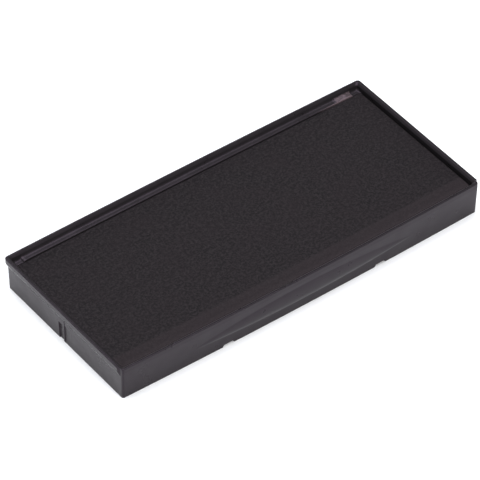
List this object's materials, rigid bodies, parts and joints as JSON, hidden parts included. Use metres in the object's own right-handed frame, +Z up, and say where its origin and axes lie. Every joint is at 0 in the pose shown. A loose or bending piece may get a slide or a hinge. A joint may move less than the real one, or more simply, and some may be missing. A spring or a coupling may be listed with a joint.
{
  "type": "self-inking stamp ink pad",
  "caption": "Shallow rectangular open-topped tray holding a cloth-covered ink pad set just below its rim; drops into a self-inking stamp.",
  "frame": {"origin": "centre of the underside, on the surface the tray lies on", "axes": "+X along the tray, +Y towards the long wall with the inner shelf, +Z up out of the open top"},
  "size_m": [0.075, 0.0344, 0.0068],
  "materials": {
    "tray_plastic": "black moulded polystyrene, satin gloss",
    "inked_cloth": "fine woven cloth, damp with black ink",
    "inked_foam": "fine open-pored foam, soaked with black ink",
    "inked_felt": "dense felt, soaked with black ink",
    "adhesive": "thin double-sided adhesive film"
  },
  "bodies": {
    "root": {"tray": "tray_plastic", "adhesive_strip_front": "adhesive", "adhesive_strip_back": "adhesive", "reservoir_felt": "inked_felt", "transfer_foam": "inked_foam", "cover_cloth": "inked_cloth"}
  },
  "joints": []
}
